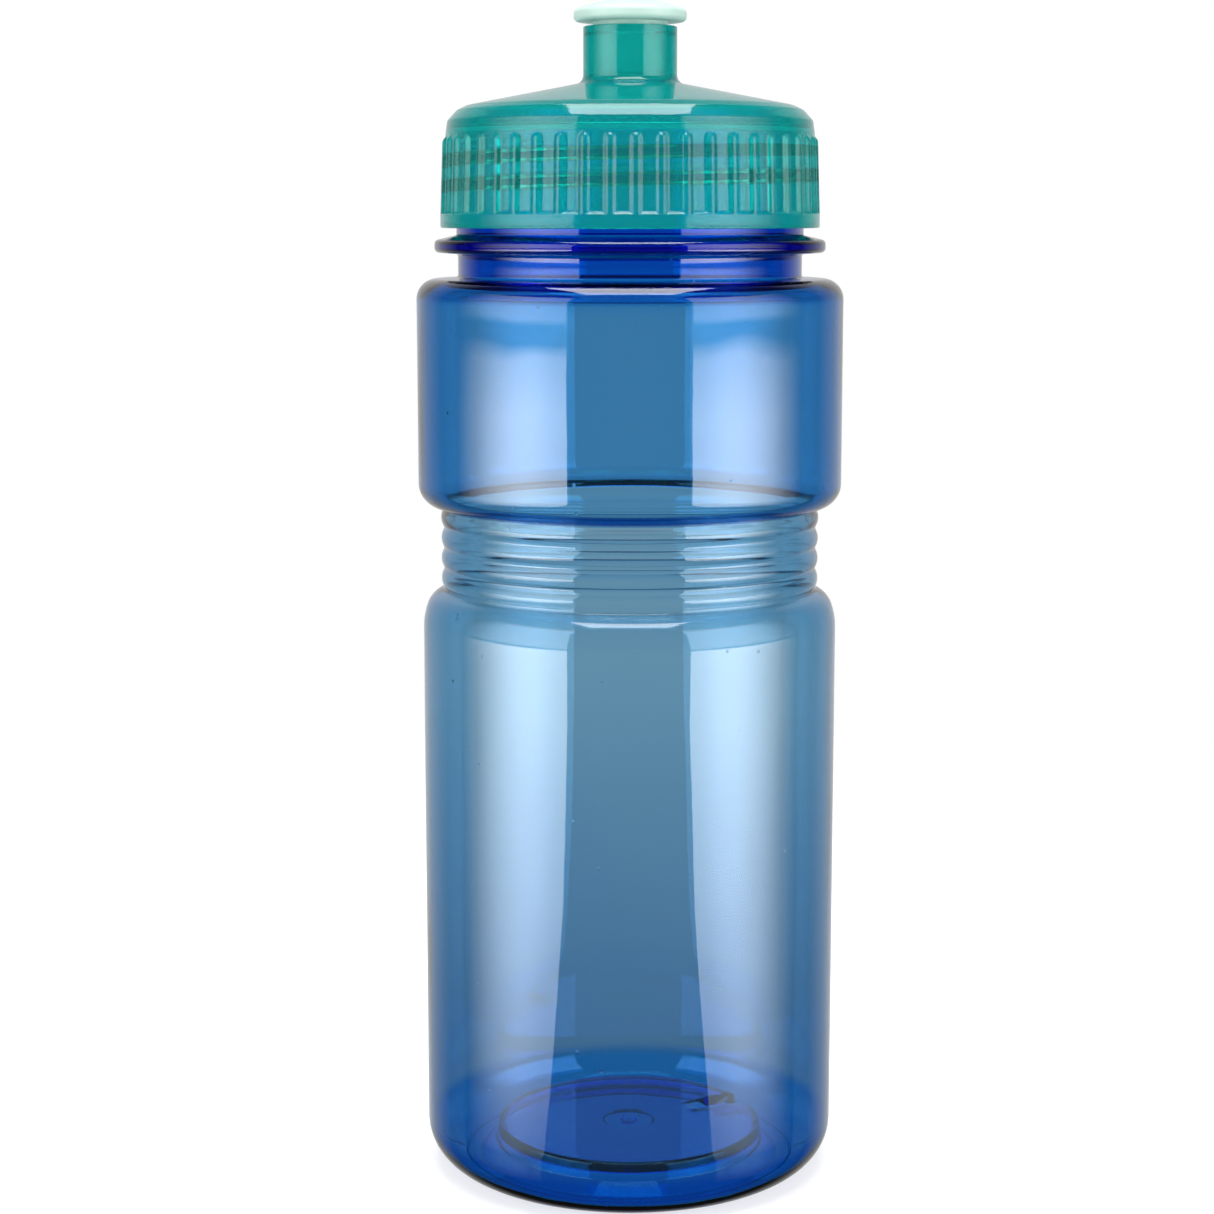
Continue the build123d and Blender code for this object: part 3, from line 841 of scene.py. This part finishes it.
def thread_band(tree):
    """1 where the cap's thread ridge thickens the skirt, 0 elsewhere."""
    x, y, z = object_axes(tree)
    front_z = NECK_THREAD_FRONT_Z - PITCH / 2
    turns = maths(tree, "DIVIDE", maths(tree, "ARCTAN2", y, x), 2 * pi)
    climb = maths(tree, "DIVIDE", maths(tree, "SUBTRACT", z, front_z * MM), PITCH * MM)
    phase = maths(tree, "SUBTRACT", maths(tree, "SUBTRACT", climb, turns), 0.25)
    away = maths(tree, "ABSOLUTE", maths(tree, "WRAP", phase, 0.5, -0.5))
    edge = THREAD_ROOT_HALF_WIDTH / PITCH
    ridge = ranged(tree, away, edge, THREAD_BAND_CORE * edge, 0, 1)
    first = front_z + PITCH * (CAP_THREAD_START + 90) / 360
    last = front_z + PITCH * (CAP_THREAD_END + 90) / 360 + THREAD_ROOT_HALF_WIDTH
    ridge = maths(tree, "MULTIPLY", ridge, maths(tree, "GREATER_THAN", z, first * MM))
    return maths(tree, "MULTIPLY", ridge, maths(tree, "LESS_THAN", z, last * MM))


def cap_plastic():
    """Translucent teal polypropylene: glossy, a little cloudy inside, with a faint orange peel, and
    deeper in colour where the thread inside makes it thicker."""
    material, tree, shader = new_material("teal_cap_plastic", CAP_CLARITY, CAP_IOR)
    cloud = noise(tree, 140)
    tint = colour_mix(tree, cloud, *CAP_TINTS)
    tint = colour_mix(tree, thread_band(tree), tint, CAP_THREAD_TINT)
    tree.links.new(tint, shader.inputs["Base Color"])
    rough = ranged(tree, cloud, 0.3, 0.7, to_low=0.05, to_high=0.09)
    tree.links.new(rough, shader.inputs["Roughness"])
    peel = bump(tree, noise(tree, 1400, detail=1.0), strength=0.06, distance=0.0001)
    tree.links.new(peel, shader.inputs["Normal"])
    absorb(tree, CAP_DYE, CAP_DYE_DENSITY)
    return material


def nozzle_plastic():
    """Frosted natural plastic with a mint cast."""
    material, tree, shader = new_material("mint_nozzle_plastic", NOZZLE_CLARITY, NOZZLE_IOR)
    tint = colour_mix(tree, noise(tree, 300), *NOZZLE_TINTS)
    tree.links.new(tint, shader.inputs["Base Color"])
    grain = noise(tree, 2500)
    rough = ranged(tree, grain, 0.3, 0.7, to_low=0.32, to_high=0.48)
    tree.links.new(rough, shader.inputs["Roughness"])
    frost = bump(tree, grain, strength=0.15, distance=0.00008)
    tree.links.new(frost, shader.inputs["Normal"])
    return material


def gasket_silicone():
    """Clear silicone, slightly cloudy."""
    material, tree, shader = new_material("clear_gasket_silicone", SILICONE_CLARITY, SILICONE_IOR)
    shader.inputs["Base Color"].default_value = (*SILICONE_TINT, 1)
    rough = ranged(tree, noise(tree, 1200), 0.3, 0.7, to_low=0.3, to_high=0.45)
    tree.links.new(rough, shader.inputs["Roughness"])
    return material


# ---------------------------------------------------------------- studio

SENSOR_WIDTH = 36.0           # millimetres, as is the lens
CAMERA_LENS = 77.16
CAMERA_DISTANCE = 0.449
CAMERA_HEIGHT = 0.1672
CAMERA_TILT = 8.61            # below the horizon
CAMERA_PAN = 0.5              # to the left of the bottle's axis
ROOM_SEEN = 1.0               # what the eye sees behind the bottle
ROOM_LIGHT = 0.5              # on matt surfaces and the floor
ROOM_THROUGH = 0.44           # what shows through clear plastic
ROOM_THROUGH_LOW = 0.33       # the same, looking down
ROOM_LOW = (-0.31, -0.18)     # upward share of the directions between those two
ROOM_MIRRORED = 0.03          # what gloss mirrors from the room's dark side, at the camera
ROOM_MIRRORED_BACK = 0.65     # and from its bright side, behind the bottle
ROOM_BACK = (0.5, 0.9)        # backward share of the directions between those two
SIDE_BOX_LIGHT = 8.0
SIDE_BOX_THROUGH = 3.6        # the side boxes' glow inside the bottle's walls
SIDE_BOX_INNER = 33.0         # azimuth of the edge nearer the camera, from the camera's line
SIDE_BOX_PEAK = 56.0          # azimuth where it is brightest
SIDE_BOX_OUTER = 106.0        # azimuth where it has faded out
SIDE_BOX_EDGE_SHARE = 0.7     # brightness at the inner edge, as a share of the brightest
SIDE_BOX_DISTANCE = 1.0
SIDE_BOX_COLUMNS = 32
SIDE_BOX_HEIGHTS = (          # height, inner edge's swing out, brightness outside and inside walls
    (-0.7, 20, 0.02, 0.1),
    (-0.38, 17, 0.04, 0.4),
    (-0.33, 13, 0.2, 0.45),
    (-0.29, 9, 0.42, 0.5),
    (-0.21, 3, 0.7, 0.7),
    (-0.11, 0, 0.92, 0.9),
    (0.06, 0, 1.0, 1.0),
    (0.09, 0, 0.7, 1.0),
    (0.1, 0, 0.05, 1.2),
    (0.125, 0, 0.03, 1.3),
    (0.15, 0, 0.36, 2.2),
    (0.4, 0, 0.32, 1.9),
    (0.9, 0, 0.32, 1.9),
)
TOP_BOX_LIGHT = 7.0
TOP_BOX_THROUGH = 3.5
TOP_BOX_Z = 1.05
TOP_BOX_Y = -0.1
TOP_BOX_WIDTH = 0.66
TOP_BOX_DEPTH = 0.9
FLOOR_SIZE = 40.0
FLOOR_WHITE = 0.95
FLOOR_GLOW = 1.2              # the clear table's own glow, from the white cloth under it
FLOOR_GLOW_SHARE = 0.6
FLOOR_FADE = (0.12, 0.4)      # distances over which the floor fades into the white distance


def diffuse(tree, grey):
    node = tree.nodes.new("ShaderNodeBsdfDiffuse")
    node.inputs["Color"].default_value = (grey, grey, grey, 1)
    return node.outputs["BSDF"]


def stage_object(name, vertices, faces):
    """A studio object with an empty material. Returns it with the material's nodes and output."""
    mesh = bpy.data.meshes.new(name)
    mesh.from_pydata(vertices, [], faces)
    stage = bpy.data.objects.new(name, mesh)
    bpy.context.scene.collection.objects.link(stage)
    material = bpy.data.materials.new(name)
    material.use_nodes = True
    mesh.materials.append(material)
    tree = material.node_tree
    tree.nodes.clear()
    return stage, tree, tree.nodes.new("ShaderNodeOutputMaterial")


def mixed(tree, share, first, second):
    node = tree.nodes.new("ShaderNodeMixShader")
    if isinstance(share, float):
        node.inputs[0].default_value = share
    else:
        tree.links.new(share, node.inputs[0])
    tree.links.new(first, node.inputs[1])
    tree.links.new(second, node.inputs[2])
    return node.outputs[0]


def make_camera():
    data = bpy.data.cameras.new("camera")
    data.lens = CAMERA_LENS
    data.sensor_width = SENSOR_WIDTH
    camera = bpy.data.objects.new("camera", data)
    camera.location = (0, -CAMERA_DISTANCE, CAMERA_HEIGHT)
    camera.rotation_euler = Euler((radians(90 - CAMERA_TILT), 0, radians(CAMERA_PAN)))
    bpy.context.scene.collection.objects.link(camera)
    bpy.context.scene.camera = camera


def make_glow(name, vertices, faces, levels, strength, mirrored):
    """A glowing panel that gloss mirrors, or else that only shows inside clear walls. levels is its
    brightness at each vertex."""
    panel, tree, output = stage_object(name, vertices, faces)
    panel.data.attributes.new("glow", "FLOAT", "POINT").data.foreach_set("value", levels)
    level = tree.nodes.new("ShaderNodeAttribute")
    level.attribute_name = "glow"
    glow = tree.nodes.new("ShaderNodeEmission")
    level = ranged(tree, level.outputs["Fac"], 0, 1, 0, strength)
    tree.links.new(level, glow.inputs["Strength"])
    tree.links.new(glow.outputs["Emission"], output.inputs["Surface"])
    panel.visible_camera = False
    panel.visible_shadow = False
    panel.visible_glossy = mirrored
    panel.visible_diffuse = mirrored
    panel.visible_transmission = not mirrored


def side_box_level(azimuth):
    """A soft box's brightness: a firm inner edge, a bright core and a long fade on its far side."""
    if azimuth < SIDE_BOX_PEAK:
        rise = smooth_step((azimuth - SIDE_BOX_INNER) / (SIDE_BOX_PEAK - SIDE_BOX_INNER))
        return SIDE_BOX_EDGE_SHARE + (1 - SIDE_BOX_EDGE_SHARE) * rise
    return 1 - smooth_step((azimuth - SIDE_BOX_PEAK) / (SIDE_BOX_OUTER - SIDE_BOX_PEAK))


def make_side_box(name, side):
    """A tall curved soft box on side -1 or 1 of the camera's line."""
    vertices, mirrored, through = [], [], []
    for i in range(SIDE_BOX_COLUMNS + 1):
        share = i / SIDE_BOX_COLUMNS
        azimuth = SIDE_BOX_INNER + (SIDE_BOX_OUTER - SIDE_BOX_INNER) * share
        level = side_box_level(azimuth)
        for z, swing, outer_share, inner_share in SIDE_BOX_HEIGHTS:
            a = radians(side * (azimuth + swing * (1 - share)))
            x, y = SIDE_BOX_DISTANCE * sin(a), -SIDE_BOX_DISTANCE * cos(a)
            vertices.append((x, y, z))
            mirrored.append(level * outer_share)
            through.append(level * inner_share)
    rows = len(SIDE_BOX_HEIGHTS)
    faces = []
    for i in range(SIDE_BOX_COLUMNS):
        for k in range(i * rows, i * rows + rows - 1):
            faces.append([k, k + rows, k + rows + 1, k + 1])
    make_glow(name, vertices, faces, mirrored, SIDE_BOX_LIGHT, True)
    make_glow(name + "_through", vertices, faces, through, SIDE_BOX_THROUGH, False)


def rectangle(width, depth, y, z):
    """Corners and the one face of a level rectangle centred on x = 0."""
    corners = []
    for right, back in ((-1, -1), (1, -1), (1, 1), (-1, 1)):
        corners.append((right * width / 2, y + back * depth / 2, z))
    return corners, [[0, 1, 2, 3]]


def make_top_box():
    """A soft box over the bottle, a little towards the camera."""
    corners, faces = rectangle(TOP_BOX_WIDTH, TOP_BOX_DEPTH, TOP_BOX_Y, TOP_BOX_Z)
    levels = [1.0] * len(corners)
    make_glow("top_box", corners, faces, levels, TOP_BOX_LIGHT, True)
    make_glow("top_box_through", corners, faces, levels, TOP_BOX_THROUGH, False)


def make_floor():
    """A wide pale floor that fades into the white distance. Only the eye and soft light meet it:
    reflections and what is seen through the bottle are of the room, as over a clear table."""
    floor, tree, output = stage_object("floor", *rectangle(FLOOR_SIZE, FLOOR_SIZE, 0, 0))
    distant = tree.nodes.new("ShaderNodeEmission")
    length = tree.nodes.new("ShaderNodeVectorMath")
    length.operation = "LENGTH"
    tree.links.new(place_on_object(tree), length.inputs[0])
    fade = ranged(tree, length.outputs["Value"], *FLOOR_FADE, 0, 1)
    glow = tree.nodes.new("ShaderNodeEmission")
    glow.inputs["Strength"].default_value = FLOOR_GLOW
    near = mixed(tree, FLOOR_GLOW_SHARE, diffuse(tree, FLOOR_WHITE), glow.outputs["Emission"])
    near = mixed(tree, fade, near, distant.outputs["Emission"])
    tree.links.new(near, output.inputs["Surface"])
    floor.visible_glossy = False
    floor.visible_transmission = False


def background(tree, grey):
    """A white background this bright; grey is a number or a socket."""
    node = tree.nodes.new("ShaderNodeBackground")
    node.inputs["Color"].default_value = (1, 1, 1, 1)
    if isinstance(grey, float):
        node.inputs["Strength"].default_value = grey
    else:
        tree.links.new(grey, node.inputs["Strength"])
    return node.outputs["Background"]


def make_world():
    """White to the eye, a pale grey room through the bottle and a dark room in its gloss."""
    world = bpy.data.worlds.new("room")
    world.use_nodes = True
    tree = world.node_tree
    tree.nodes.clear()
    output = tree.nodes.new("ShaderNodeOutputWorld")
    path = tree.nodes.new("ShaderNodeLightPath")
    place = tree.nodes.new("ShaderNodeTexCoord")
    way = tree.nodes.new("ShaderNodeSeparateXYZ")
    tree.links.new(place.outputs["Generated"], way.inputs["Vector"])
    mirrored = ranged(tree, way.outputs["Y"], *ROOM_BACK, ROOM_MIRRORED, ROOM_MIRRORED_BACK)
    through = ranged(tree, way.outputs["Z"], *ROOM_LOW, ROOM_THROUGH_LOW, ROOM_THROUGH)
    light = background(tree, ROOM_LIGHT)
    light = mixed(tree, path.outputs["Is Glossy Ray"], light, background(tree, mirrored))
    light = mixed(tree, path.outputs["Is Transmission Ray"], light, background(tree, through))
    light = mixed(tree, path.outputs["Is Camera Ray"], light, background(tree, ROOM_SEEN))
    tree.links.new(light, output.inputs["Surface"])
    bpy.context.scene.world = world


def make_studio():
    make_camera()
    make_world()
    make_floor()
    make_side_box("soft_box_left", -1)
    make_side_box("soft_box_right", 1)
    make_top_box()
    bpy.context.scene.view_settings.view_transform = "Standard"


# ---------------------------------------------------------------- assembly

def finish_piece(piece, body, node, material):
    """The piece rides its body, stands in for its CAD node and fills its material slot."""
    piece.data.materials.append(material)
    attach(piece, body)
    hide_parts(node)


finish_piece(make_bottle(), "bottle", "bottle_body", bottle_plastic())
finish_piece(make_cap(), "cap", "screw_cap", cap_plastic())
finish_piece(make_gasket(), "gasket", "cap_gasket", gasket_silicone())
finish_piece(make_nozzle(), "nozzle", "push_pull_nozzle", nozzle_plastic())
make_studio()
